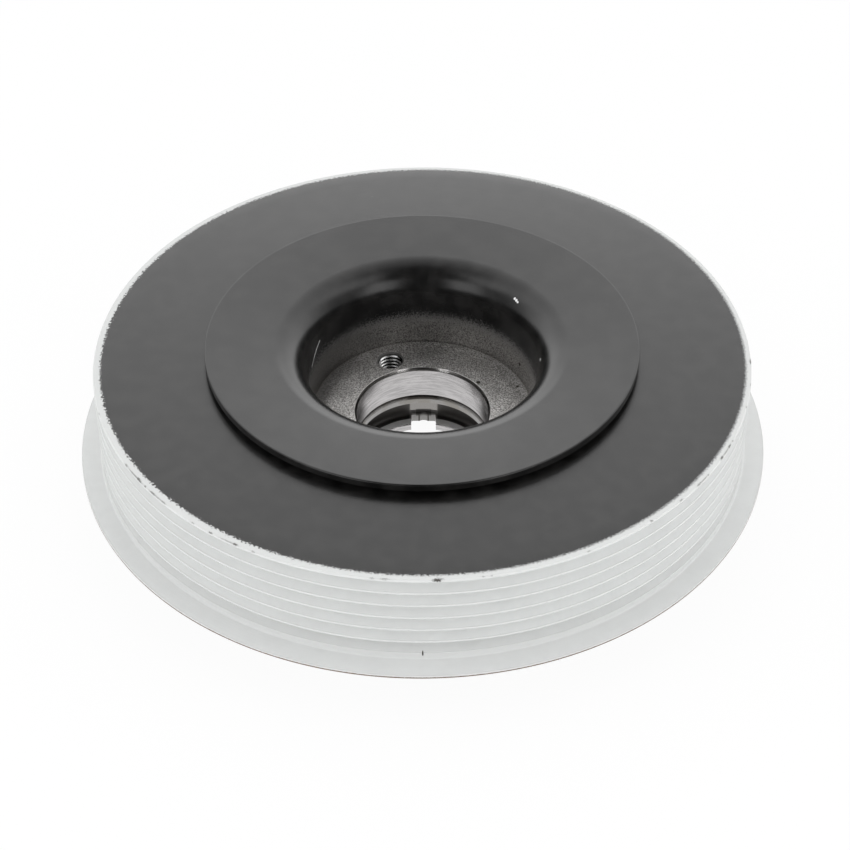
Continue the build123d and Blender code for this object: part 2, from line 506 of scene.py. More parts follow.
def hub_outline():
    """Section of the hub, from the rear face round the outside, through the cup to the bore."""
    web_rear = CUP_FLOOR - WEB_THICKNESS
    disc_rear = DISC_FRONT - DISC_EDGE_THICKNESS
    plate_rear = DISC_FRONT - DISC_PLATE_THICKNESS
    skirt_outer = RING_BORE_RADIUS - RUBBER_THICKNESS
    skirt_inner = skirt_outer - SKIRT_THICKNESS
    skirt_rear = RING_REAR + SKIRT_SETBACK
    mouth_height = DISC_FRONT - DISC_DISH
    cup_mouth = CUP_BASE_RADIUS + (mouth_height - WALL_BASE) * math.tan(math.radians(CUP_DRAFT))
    cup_outer_rear = CUP_BASE_RADIUS + CUP_BASE_WALL
    cup_outer_front = cup_outer_rear + (plate_rear - web_rear) * math.tan(math.radians(CUP_OUTER_DRAFT))
    return rounded_outline([
        (CRANK_BORE_RADIUS + CRANK_BORE_CHAMFER, 0, 0),
        (BOSS_RADIUS - BOSS_CHAMFER, 0, 0),
        (BOSS_RADIUS, BOSS_CHAMFER, 0),
        (BOSS_RADIUS, web_rear, BOSS_FILLET),
        (cup_outer_rear, web_rear, WEB_CORNER_FILLET),
        (cup_outer_front, plate_rear, INNER_CORNER_FILLET),
        (skirt_inner, plate_rear, INNER_CORNER_FILLET),
        (skirt_inner, skirt_rear + SKIRT_CHAMFER, 0),
        (skirt_inner + SKIRT_CHAMFER, skirt_rear, 0),
        (skirt_outer - SKIRT_CHAMFER, skirt_rear, 0),
        (skirt_outer, skirt_rear + SKIRT_CHAMFER, 0),
        (skirt_outer, disc_rear, 0),
        (DISC_RADIUS, disc_rear, DISC_EDGE_FILLET),
        (DISC_RADIUS, DISC_FRONT, DISC_EDGE_FILLET),
        (cup_mouth, mouth_height, FLARE_RADIUS),
        (CUP_BASE_RADIUS, WALL_BASE, 0),
        (CUP_BASE_RADIUS - CUP_FLOOR_RISE_WIDTH, CUP_FLOOR, CUP_FLOOR_FILLET),
        (BOLT_RECESS_RADIUS + RECESS_EDGE_WIDTH, CUP_FLOOR, RECESS_EDGE_ROUND),
        (BOLT_RECESS_RADIUS, CUP_FLOOR - RECESS_EDGE_DEPTH, RECESS_EDGE_ROUND),
        (BOLT_RECESS_RADIUS, CORNER_GROOVE_FRONT, 0),
        (BOLT_RECESS_RADIUS + CORNER_GROOVE_DEPTH, CORNER_GROOVE_FRONT, 0),
        (BOLT_RECESS_RADIUS + CORNER_GROOVE_DEPTH, CONE_FRONT, 0),
        (BOLT_RECESS_RADIUS, CONE_FRONT, 0),
        (COLLAR_RADIUS, COLLAR_FRONT, 0),
        (COLLAR_RADIUS, GROOVE_FRONT, 0),
        (GROOVE_RADIUS, GROOVE_FRONT, 0),
        (GROOVE_RADIUS, CRANK_BORE_LENGTH, GROOVE_FILLET),
        (CRANK_BORE_RADIUS + CRANK_BORE_CHAMFER, CRANK_BORE_LENGTH, 0),
        (CRANK_BORE_RADIUS, CRANK_BORE_LENGTH - CRANK_BORE_CHAMFER, 0),
        (CRANK_BORE_RADIUS, CRANK_BORE_CHAMFER, 0),
    ])


def keyway_outline():
    """Keyway seen from the front, with its two back corners rounded."""
    half = KEYWAY_WIDTH / 2
    return rounded_outline([(-half, 0, 0), (half, 0, 0), (half, KEYWAY_BACK, KEYWAY_CORNER_RADIUS),
                            (-half, KEYWAY_BACK, KEYWAY_CORNER_RADIUS)])


def circle(radius, centre, steps):
    """Points round a circle."""
    points = []
    for step in range(steps):
        angle = 2 * math.pi * step / steps
        points.append((centre[0] + radius * math.cos(angle), centre[1] + radius * math.sin(angle)))
    return points


def puller_centres():
    """Centres of the puller holes."""
    centres = []
    for hole in range(PULLER_HOLE_COUNT):
        angle = math.radians(PULLER_HOLE_ANGLE) + 2 * math.pi * hole / PULLER_HOLE_COUNT
        centres.append((PULLER_CIRCLE_RADIUS * math.cos(angle), PULLER_CIRCLE_RADIUS * math.sin(angle)))
    return centres


def puller_drill(centre):
    """Cutter of one puller hole: a countersunk mouth, the bore and the drill's tip."""
    tip = PULLER_HOLE_RADIUS / math.tan(math.radians(PULLER_DRILL_ANGLE / 2))
    bottom = CUP_FLOOR - PULLER_HOLE_DEPTH
    mouth = PULLER_HOLE_RADIUS + PULLER_HOLE_CHAMFER
    shell = bmesh.new()
    rings = []
    levels = ((PULLER_HOLE_RADIUS, bottom), (PULLER_HOLE_RADIUS, CUP_FLOOR - PULLER_HOLE_CHAMFER),
              (mouth, CUP_FLOOR), (mouth, CUP_FLOOR + OVERRUN))
    for radius, height in levels:
        around = circle(radius, centre, DRILL_SEGMENTS)
        rings.append([shell.verts.new((x * MM, y * MM, height * MM)) for x, y in around])
    point = shell.verts.new((centre[0] * MM, centre[1] * MM, (bottom - tip) * MM))
    for step in range(DRILL_SEGMENTS):
        beside = (step + 1) % DRILL_SEGMENTS
        shell.faces.new((point, rings[0][step], rings[0][beside]))
        for lower, upper in zip(rings, rings[1:]):
            shell.faces.new((lower[step], lower[beside], upper[beside], upper[step]))
    shell.faces.new(rings[-1])
    return solid("drill", shell)


def thread(name, centre):
    """Helical ridge of a tapped hole, a closed V standing in from the hole's wall."""
    top = CUP_FLOOR - PULLER_HOLE_CHAMFER - THREAD_PITCH / 2
    root = PULLER_HOLE_RADIUS + THREAD_SEAT
    half_root = THREAD_PITCH * THREAD_ROOT_SHARE
    half_crest = THREAD_PITCH * THREAD_CREST_SHARE
    steps = round((PULLER_HOLE_DEPTH - THREAD_RUNOUT) / THREAD_PITCH * THREAD_TURN_STEPS)
    shell = bmesh.new()
    rows = []
    for step in range(steps + 1):
        angle = 2 * math.pi * step / THREAD_TURN_STEPS
        height = top - THREAD_PITCH * step / THREAD_TURN_STEPS
        fade = min(1.0, step / THREAD_FADE_STEPS, (steps - step) / THREAD_FADE_STEPS)
        crest = PULLER_HOLE_RADIUS - THREAD_DEPTH * fade
        row = []
        for radius, rise in ((root, -half_root), (crest, -half_crest), (crest, half_crest),
                             (root, half_root)):
            row.append(shell.verts.new(((centre[0] + radius * math.cos(angle)) * MM,
                                        (centre[1] + radius * math.sin(angle)) * MM,
                                        (height + rise) * MM)))
        rows.append(row)
    for before, after in zip(rows, rows[1:]):
        for side in range(len(before)):
            beyond = (side + 1) % len(before)
            shell.faces.new((before[side], before[beyond], after[beyond], after[side]))
    shell.faces.new(rows[0])
    shell.faces.new(rows[-1])
    return solid(name, shell)


ring = lathe("pulley_ring_turned", ring_outline(), RING_SEGMENTS)
rubber = lathe("rubber_ring_moulded", rubber_outline(), RUBBER_SEGMENTS)
hub = lathe("hub_turned", hub_outline(), HUB_SEGMENTS)
keyway_front = CRANK_BORE_LENGTH + GROOVE_LENGTH / 2
relief_centre = (0, KEYWAY_BACK + KEY_RELIEF_DEPTH - KEY_RELIEF_RADIUS)
relief_outline = circle(KEY_RELIEF_RADIUS, relief_centre, RELIEF_SEGMENTS)
cut(hub, prism("slot", keyway_outline(), -OVERRUN, keyway_front))
cut(hub, prism("relief", relief_outline, -OVERRUN, keyway_front))
threads = []
for number, hole_centre in enumerate(puller_centres(), start=1):
    cut(hub, puller_drill(hole_centre))
    threads.append(thread(f"puller_thread_{number}", hole_centre))
for piece in (ring, rubber, hub, *threads):
    shade(piece)

# ======== finishes ========

# Linear colours.
COAT = grey(0.004, 0.02)
COAT_WORN = grey(0.012, 0.03)
COAT_DUST = grey(0.20, 0.03)
TRACK_GREY = (0.695, 0.705, 0.70)
# Painted shade of the crests.
CREST_SHADE_GREY = (0.6, 0.61, 0.605)
# Painted shade of the rim's edge.
RIM_SHADE_GREY = (0.625, 0.635, 0.63)
TRACK_DARK = (0.40, 0.40, 0.395)
EDGE_BROWN = (0.12, 0.075, 0.045)
GRIME = (0.05, 0.042, 0.034)
FLOOR_BRIGHT = grey(0.85, 0.02)
FLOOR_DARK = grey(0.17, 0.05)
FLOOR_SHADE = grey(0.05, 0.04)
WALL_GREY = grey(0.58, 0.03)
WALL_DARK = grey(0.16, 0.03)
# Painted dark reflection on the recess's mouth.
MOUTH_DARK_REFLECTION = grey(0.36, 0.03)
# Painted shade of the puller holes' mouths.
HOLE_MOUTH = grey(0.13, 0.03)
BORE_STEEL = (0.57, 0.555, 0.555)
BORE_STREAK = (0.43, 0.42, 0.42)
COLLAR_STEEL = grey(0.33, 0.02)
STAIN = (0.17, 0.14, 0.09)
# Painted light behind the keyway, painted shade in the groove, and painted light on the land round the crank
# bore.
GROOVE_LIT = grey(0.28, 0.04)
GROOVE_SHADE = grey(0.12, 0.05)
LAND_LIT = grey(0.95, 0.01)
# Dark steel of specks and of the darker cone, and painted shade in the cup's corner, the puller holes and the
# keyway's relief.
DARK_STEEL_AND_SHADE = (0.055, 0.048, 0.042)
SCRATCH_WHITE = grey(0.8)
THREAD_BRIGHT = grey(0.95)
THREAD_ROOT_SHADE = grey(0.04)
RUBBER_BLACK = grey(0.012)
RUBBER_WORN = grey(0.025, 0.02)

# Roughness where the noise is 0 and where it is 1, and one number for the bore's rough places.
COAT_ROUGHNESS = (0.2, 0.3)
TRACK_ROUGHNESS = (0.6, 0.75)
CUP_ROUGHNESS = (0.34, 0.55)
BORE_ROUGHNESS = (0.16, 0.26)
ROUGH_BORE = 0.55
THREAD_ROUGHNESS = (0.2, 0.3)
RUBBER_ROUGHNESS = (0.7, 0.9)

# The coat's index of refraction, and the specular levels of the coat, the track and the coat in the cup.
COAT_IOR = 1.57
COAT_SHINE = 0.5
TRACK_SHINE = 0.25
CUP_COAT_SHINE = 0.2

# Depths of the bumps in mm.
GRAIN_DEPTH = 0.014
TRACK_LINE_DEPTH = 0.01
COAT_THICKNESS = 0.03
CHIP_DEPTH = 0.2
TURNED_DEPTH = 0.03
SPARKLE_DEPTH = 0.05
THREAD_GRAIN_DEPTH = 0.01
RUBBER_GRAIN_DEPTH = 0.03

# Where the ring's coat ends, and how far its edge swings on the right and on the left side.
# The left side begins gradually round x = RING_LEFT.
FRONT_COAT_DEPTH = 0.57
REAR_COAT_HEIGHT = 0.08
BORE_COAT_WIDTH = 1.25
PAINT_SWING = (1.2, 2.6)
PAINT_INSET_LEFT = 0.35
RING_LEFT = -15.0

# Where the track's greys change, from the track's radius, the front face, the foot's top, the flange's edge
# and the rear face. The first four bound painted shade on the crests, the rim's edge, the foot and the
# flange's edge.
CREST_HALF_DEPTH = 0.2
RIM_DEPTH = 0.85
FOOT_SHADE_HEIGHT = 2.2
FLANGE_SHADE_WIDTH = 0.25
REAR_WEAR_HEIGHT = 0.575

# Bare metal shows in the cup below a height, and on the boss within a radius.
BARE_CUP_HEIGHT = 25.4
BARE_CUP_RADIUS = 29.5
BARE_BOSS_RADIUS = BOSS_RADIUS + 0.4
BARE_BOSS_HEIGHT = 12.0
FRAY_HEIGHT = 12.0
DULL_COAT_HEIGHT = DISC_FRONT - 6.5

# Where the cup's metal changes, and the x at which the painted shade on its left and on its right side
# begins.
CUP_LEFT = -15.0
CUP_RIGHT = 13.0
FLOOR_SHADE_WIDTH = 3.25
CORNER_LINE_WIDTH = 0.35
BORE_EDGE_RADIUS = BOLT_RECESS_RADIUS + RECESS_EDGE_WIDTH
BORE_METAL_DEPTH = 0.9
# The painted glints on the recess's mouth lie between these distances from the keyway's middle.
GLINT_FROM = 3.8
GLINT_TO = 6.3
HOLE_MOUTH_DEPTH = 0.8

# Where the bore's metal and its painted light and shade change: a radius, heights above and a depth below the
# crank bore's front end, and distances from the keyway's middle.
LAND_RADIUS = 16.0
LEDGE_HEIGHT = 1.15
LOW_WALL_HEIGHT = 1.35
DARK_CONE_HALF_WIDTH = 4.0
BEHIND_KEYWAY_HALF_WIDTH = 3.4
MIDDLE_HALF_WIDTH = 1.9
RELIEF_EDGE_FROM = 0.95
RELIEF_EDGE_TO = 1.3
UPPER_END_DEPTH = 0.55

# Chips along the rim's edge: azimuth in degrees, half length and half width in mm, and darkness.
RIM_CHIPS = (
    (-86.9, 1.1, 0.45, 0.95), (-97.2, 0.5, 0.25, 0.3), (-95.2, 0.9, 0.28, 0.35), (-79.7, 0.4, 0.2, 0.3),
    (-78.3, 0.35, 0.25, 0.3), (-162.4, 0.4, 0.2, 0.5), (-147.8, 0.9, 0.25, 0.5), (-145.8, 0.6, 0.2, 0.6),
    (-143.5, 1.1, 0.35, 0.8), (-141.5, 0.5, 0.25, 0.6), (-139.2, 1.2, 0.25, 0.6), (-136.4, 0.8, 0.2, 0.5),
    (-129.3, 0.4, 0.2, 0.4), (-125.5, 0.5, 0.25, 0.6), (-120.5, 0.7, 0.3, 0.8), (-117.2, 0.5, 0.2, 0.4),
    (-61.8, 0.5, 0.2, 0.35), (-49.3, 0.4, 0.25, 0.4), (-42.1, 0.6, 0.25, 0.4), (-37.1, 0.9, 0.25, 0.5),
    (-34.2, 0.4, 0.2, 0.5), (-29.2, 0.6, 0.35, 0.75), (-26.0, 0.8, 0.3, 0.75), (-24.4, 0.4, 0.2, 0.5),
    (-15.1, 0.5, 0.25, 0.4), (-8.9, 0.4, 0.2, 0.4), (-2.6, 0.8, 0.35, 0.8),
    (-144.5, 3.2, 0.17, 0.55), (-138.5, 2.4, 0.15, 0.45), (-122.0, 2.5, 0.15, 0.35),
    (-27.5, 2.2, 0.16, 0.5), (-35.5, 1.8, 0.15, 0.4),
)
# The chips' middles lie inside the rim's corner, and a noise shifts their edges in units of their size.
CHIP_INSET = 0.1
CHIP_SWING = 4.0

# Dark specks and pale chips in the cup: azimuth in degrees, radius, height and size in mm.
CUP_SPECKS = ((28.3, 26.4, 22.1, 0.48), (21.2, 24.4, 18.1, 0.45), (37.9, 16.9, 18.0, 0.62))
CUP_CHIPS = (
    (42.1, 29.5, 36.4, 0.34), (40.8, 29.4, 36.3, 0.4), (39.6, 29.3, 36.2, 0.3),
    (1.3, 27.5, 33.1, 0.38), (70.5, 20.8, 18.0, 0.32),
)
# A noise draws a spot's edge inwards, and the spot fades out at SPOT_REACH times its size.
SPOT_SWING = 0.6
SPOT_REACH = 1.35

# A nick in the flange's foot: azimuth in degrees, height, and half sizes round, out and up in mm.
NICK_AZIMUTH = -89.3
NICK_HEIGHT = 14.2
NICK_SIZES = (0.16, 1.0, 0.55)

# A hair-line scratch down the cup's wall: azimuth in degrees and height of both ends, and its width.
SCRATCH_LOW = (168.0, 26.6)
SCRATCH_HIGH = (154.7, 30.0)
SCRATCH_WIDTH = 0.12


def from_azimuth(azimuth, radius, height):
    """Point at an azimuth in degrees, a radius and a height."""
    angle = math.radians(azimuth)
    return (radius * math.cos(angle), radius * math.sin(angle), height)


def coated(look, coarse):
    """Black coat with slow patches of wear and a few grains of dust."""
    colour = look.blend(look.above(coarse, 0.525, soft=0.35), COAT, COAT_WORN)
    dust = look.below(look.cells(scale=0.22), 0.075, soft=0.05)
    return look.blend(dust, colour, COAT_DUST)


def spots(look, places, ragged):
    """Mask of small ragged spots given as (azimuth, radius, height, size)."""
    masks = []
    for azimuth, radius, height, size in places:
        offset = look.vector("SUBTRACT", look.place, from_azimuth(azimuth, radius, height))
        distance = look.math("ADD", look.length(offset), look.both(ragged, size * SPOT_SWING))
        masks.append(look.step(distance, size * SPOT_REACH, size))
    return look.either(*masks)


def mark_distance(look, unrolled, place, sizes):
    """Distance from a place on the unrolled ring, in units of a mark's half sizes."""
    offset = look.vector("SUBTRACT", unrolled, place)
    return look.length(look.vector("MULTIPLY", offset, tuple(1 / size for size in sizes)))


def rim_chips(look, unrolled, ragged):
    """Mask of the chips along the rim's edge, broken up by a noise."""
    chips = []
    broken = look.swing(ragged, CHIP_SWING)
    for azimuth, half_length, half_width, darkness in RIM_CHIPS:
        place = (math.radians(azimuth) * TRACK_RADIUS, TRACK_RADIUS - CHIP_INSET,
                 RING_FRONT - RIM_BEVEL_DROP - CHIP_INSET)
        distance = mark_distance(look, unrolled, place, (half_length, half_width, half_width))
        chip = look.below(look.math("ADD", distance, broken), 0.7, soft=0.6)
        chips.append(look.both(chip, darkness))
    return look.either(*chips)


def ring_coat(look):
    """Mask of the ring's coat, which stops just inside the rim, raggedly on the left."""
    left = look.below(look.x, RING_LEFT, soft=90.0)
    teeth = look.noise(scale=2.1, detail=2.0, roughness=0.6)
    swing = look.swing(teeth, look.mix(left, *PAINT_SWING))
    edge = look.math("ADD", look.math("ADD", look.radius, swing), look.both(left, PAINT_INSET_LEFT))
    inside_edge = look.mix(left, look.below(edge, PAINT_EDGE_RADIUS, soft=1.0),
                           look.below(edge, PAINT_EDGE_RADIUS, soft=0.3))
    on_front = look.above(look.z, RING_FRONT - FRONT_COAT_DEPTH, soft=0.1)
    on_rear = look.below(look.z, RING_REAR + REAR_COAT_HEIGHT, soft=0.08)
    in_bore = look.below(look.radius, RING_BORE_RADIUS + BORE_COAT_WIDTH, soft=0.5)
    return look.either(look.both(on_front, inside_edge), on_rear, in_bore)


def track_colour(look, fine, coarse):
    """Light grey of the track, darker in patches, with painted shade on its crests, rim edge, foot and flange
    edge, and a brown rear edge.
    """
    colour = look.blend(look.above(coarse, 0.5, soft=0.3), TRACK_GREY, TRACK_DARK, share=0.06)
    # Painted shade darkens the crests, which would catch the most light.
    crest = look.window(look.radius, TRACK_RADIUS - CREST_HALF_DEPTH, TRACK_RADIUS + CREST_HALF_DEPTH, 0.3)
    colour = look.blend(crest, colour, CREST_SHADE_GREY)
    # Painted shade darkens the rim's rounded front edge.
    colour = look.blend(look.above(look.z, RING_FRONT - RIM_DEPTH, soft=0.3), colour, RIM_SHADE_GREY)
    # Painted shade in the corner where the track meets the flange, over the foot and the last groove.
    foot_top = FLANGE_ROOT + FLANGE_FOOT_HEIGHT + FOOT_SHADE_HEIGHT
    foot = look.window(look.z, FLANGE_ROOT - 0.1, foot_top, soft=1.0)
    colour = look.blend(foot, colour, TRACK_DARK, share=0.18)
    # Painted shade dulls the highlight on the flange's rounded edge.
    flange_edge = look.above(look.radius, FLANGE_RADIUS - FLANGE_SHADE_WIDTH, soft=0.3)
    colour = look.blend(flange_edge, colour, TRACK_DARK, share=0.3)
    specks = look.below(look.cells(scale=0.3), 0.045, soft=0.03)
    colour = look.blend(specks, colour, GRIME, share=0.5)
    uneven_height = look.math("ADD", look.z, look.both(fine, 0.3))
    worn_edge = look.below(uneven_height, RING_REAR + REAR_WEAR_HEIGHT, soft=0.25)
    return look.blend(worn_edge, colour, EDGE_BROWN)


def ring_look():
    """Finish of the pulley ring: a black coat, and a light grey belt track and flange."""
    look = Look("ring_finish")
    unrolled = look.combine(look.both(look.turn, TRACK_RADIUS), look.radius, look.z)
    fine = look.noise(scale=1.6, detail=4.0, roughness=0.62)
    coarse = look.noise(scale=0.25, detail=3.0)
    ragged = look.noise(scale=3.8, detail=3.0, roughness=0.75)
    coat = ring_coat(look)
    nick_place = (math.radians(NICK_AZIMUTH) * TRACK_RADIUS, TRACK_RADIUS, NICK_HEIGHT)
    nick = look.below(mark_distance(look, unrolled, nick_place, NICK_SIZES), 1.0, soft=0.4)
    marks = look.either(rim_chips(look, unrolled, ragged), look.both(nick, look.other(coat)))
    colour = look.blend(coat, track_colour(look, fine, coarse), coated(look, coarse))
    look.set("Base Color", look.blend(marks, colour, GRIME))
    look.set("Roughness", look.mix(coat, look.mix(fine, *TRACK_ROUGHNESS), look.mix(fine, *COAT_ROUGHNESS)))
    look.set("Specular IOR Level", look.mix(coat, TRACK_SHINE, COAT_SHINE))
    look.set("IOR", COAT_IOR)

    turned = look.noise(scale=5.0, detail=2.0, where=look.drawn_round(0.6))
    grain = look.bump(fine, GRAIN_DEPTH)
    lines = look.bump(turned, TRACK_LINE_DEPTH, grain)
    edge_line = look.bump(coat, COAT_THICKNESS, lines)
    look.set("Normal", look.bump(look.other(marks), CHIP_DEPTH, edge_line))
    return look


def cup_metal(look, grit, coarse):
    """Colour of the cup's bare metal: a sparkling floor with painted shade towards the wall, most on the
    left, and a duller wall with painted shade on the left.
    """
    left = look.below(look.x, CUP_LEFT, soft=18.0)
    right = look.above(look.x, CUP_RIGHT, soft=14.0)
    metal = look.blend(look.above(grit, 0.51, soft=0.26), FLOOR_DARK, FLOOR_BRIGHT)
    metal = look.blend(look.above(coarse, 0.5, soft=0.3), metal, FLOOR_DARK, share=0.25)
    # Painted shade: the floor darkens towards the wall, much on the left and a little on the right.
    outer = look.above(look.radius, CUP_BASE_RADIUS - FLOOR_SHADE_WIDTH, soft=3.7)
    shaded = look.mix(left, look.both(right, 0.4), 0.85)
    metal = look.blend(look.both(outer, shaded), metal, FLOOR_SHADE)
    wall_metal = look.blend(look.above(grit, 0.5, soft=0.24), WALL_DARK, WALL_GREY)
    # Painted shade darkens the wall's left side.
    wall_metal = look.blend(left, wall_metal, WALL_DARK, share=0.8)
    metal = look.blend(look.above(look.z, WALL_BASE, soft=0.2), metal, wall_metal)
    # A painted shade line runs round the corner between the floor and the wall.
    corner = look.both(look.window(look.z, WALL_BASE - 0.1, WALL_BASE + 0.12, soft=0.1),
                       look.above(look.radius, CUP_BASE_RADIUS - CORNER_LINE_WIDTH, soft=0.3))
    return look.blend(corner, metal, DARK_STEEL_AND_SHADE, share=0.45)


def keyway_side(look):
    """Mask of the hub's half that has the keyway."""
    return look.above(look.y, 1.0, soft=2.0)


def bore_metal(look, coarse):
    """Colour of the stepped bore, and masks of its rough and of its dull places."""
    streaks = look.noise(scale=2.6, detail=3.0, roughness=0.65, where=look.drawn_round(1.2))
    metal = look.blend(look.above(streaks, 0.5, soft=0.28), BORE_STREAK, BORE_STEEL)
    keyed = keyway_side(look)

    # The collar is duller, with olive stains, and its cone is darker, most at the keyway's side.
    on_collar = look.both(look.below(look.z, CORNER_GROOVE_FRONT, soft=0.1),
                          look.above(look.z, GROOVE_FRONT - 0.2, soft=0.2))
    collar = look.blend(look.above(coarse, 0.525, soft=0.15), COLLAR_STEEL, STAIN, share=0.3)
    metal = look.blend(on_collar, metal, collar)
    cone = look.both(on_collar, look.above(look.z, COLLAR_FRONT - 0.125, soft=0.25))
    by_keyway = look.both(look.window(look.x, -DARK_CONE_HALF_WIDTH, DARK_CONE_HALF_WIDTH, soft=1.5), keyed)
    metal = look.blend(look.both(cone, look.mix(by_keyway, 0.3, 0.9)), metal, DARK_STEEL_AND_SHADE)

    # Painted shade darkens the groove, but for painted light on the wall behind the keyway and on the land
    # round the crank bore, where the collar casts no shadow.
    in_groove = look.both(look.below(look.z, GROOVE_FRONT, soft=0.2),
                          look.above(look.radius, CRANK_BORE_RADIUS + 0.1, soft=0.1),
                          look.above(look.z, CRANK_BORE_LENGTH - 0.2, soft=0.2))
    behind_keyway = look.both(
        look.window(look.x, -BEHIND_KEYWAY_HALF_WIDTH, BEHIND_KEYWAY_HALF_WIDTH, soft=0.6), keyed)
    middle = look.window(look.x, -MIDDLE_HALF_WIDTH, MIDDLE_HALF_WIDTH, soft=0.2)
    low = look.both(look.below(look.z, CRANK_BORE_LENGTH + LOW_WALL_HEIGHT, soft=0.3), middle)
    wall = look.blend(look.both(behind_keyway, look.other(low)), GROOVE_SHADE, GROOVE_LIT)
    metal = look.blend(in_groove, metal, wall)
    on_floor = look.both(in_groove, look.below(look.z, CRANK_BORE_LENGTH + 0.2, soft=0.2))
    on_land = look.both(on_floor, look.below(look.radius, LAND_RADIUS, soft=0.4))
    metal = look.blend(on_land, metal, LAND_LIT)
    ledge = look.both(in_groove, behind_keyway,
                      look.below(look.z, CRANK_BORE_LENGTH + LEDGE_HEIGHT, soft=0.2))

    # In the keyway, painted shade darkens the relief's two edges and its upper end.
    sideways = look.math("ABSOLUTE", look.x)
    keyway_back = look.both(
        look.window(look.y, KEYWAY_BACK - 0.2, KEYWAY_BACK + KEY_RELIEF_DEPTH + 0.1, soft=0.1),
        look.below(sideways, KEYWAY_WIDTH / 2 + 0.05, soft=0.1),
        look.below(look.z, CRANK_BORE_LENGTH, soft=0.1))
    metal = look.blend(keyway_back, metal, COLLAR_STEEL)
    relief_edge = look.window(sideways, RELIEF_EDGE_FROM, RELIEF_EDGE_TO, soft=0.15)
    upper = look.both(look.above(look.z, CRANK_BORE_LENGTH - UPPER_END_DEPTH, soft=0.7), middle)
    dark = look.both(keyway_back, look.either(look.both(relief_edge, 0.85), look.both(upper, 0.6)))
    rough = look.either(on_floor, keyway_back, look.both(in_groove, look.other(behind_keyway)))
    return look.blend(dark, metal, DARK_STEEL_AND_SHADE), rough, look.either(on_land, ledge)


def recess_mouth(look, metal):
    """A colour with the recess's mouth on it: a painted dark reflection, with two painted glints beside the
    keyway.
    """
    mouth = look.both(look.window(look.radius, BOLT_RECESS_RADIUS + 0.04, BORE_EDGE_RADIUS + 0.06, soft=0.04),
                      look.window(look.z, CUP_FLOOR - RECESS_EDGE_DEPTH - 0.1, CUP_FLOOR + 0.05, soft=0.05))
    # Painted glints: two bright places beside the keyway.
    painted_glints = look.both(look.window(look.math("ABSOLUTE", look.x), GLINT_FROM, GLINT_TO, soft=1.0),
                         keyway_side(look))
    return look.blend(mouth, metal, look.blend(painted_glints, MOUTH_DARK_REFLECTION, FLOOR_BRIGHT))


def puller_distance(look):
    """Distance from the axis of the nearest puller hole."""
    flat = look.combine(look.x, look.y, 0.0)
    distances = []
    for centre in puller_centres():
        distances.append(look.length(look.vector("SUBTRACT", flat, (*centre, 0))))
    nearest = distances[0]
    for distance in distances[1:]:
        nearest = look.math("MINIMUM", nearest, distance)
    return nearest


def scratch_line(look):
    """Mask of the hair-line scratch, straight on the cup's unrolled wall."""
    degrees = look.math("DEGREES", look.turn)
    slope = (SCRATCH_HIGH[1] - SCRATCH_LOW[1]) / (SCRATCH_HIGH[0] - SCRATCH_LOW[0])
    line = look.math("MULTIPLY_ADD", degrees, slope, SCRATCH_LOW[1] - SCRATCH_LOW[0] * slope)
    off_line = look.math("ABSOLUTE", look.math("SUBTRACT", look.z, line))
    return look.both(look.window(degrees, SCRATCH_HIGH[0], SCRATCH_LOW[0], soft=0.5),
                     look.step(off_line, SCRATCH_WIDTH, SCRATCH_WIDTH / 2))


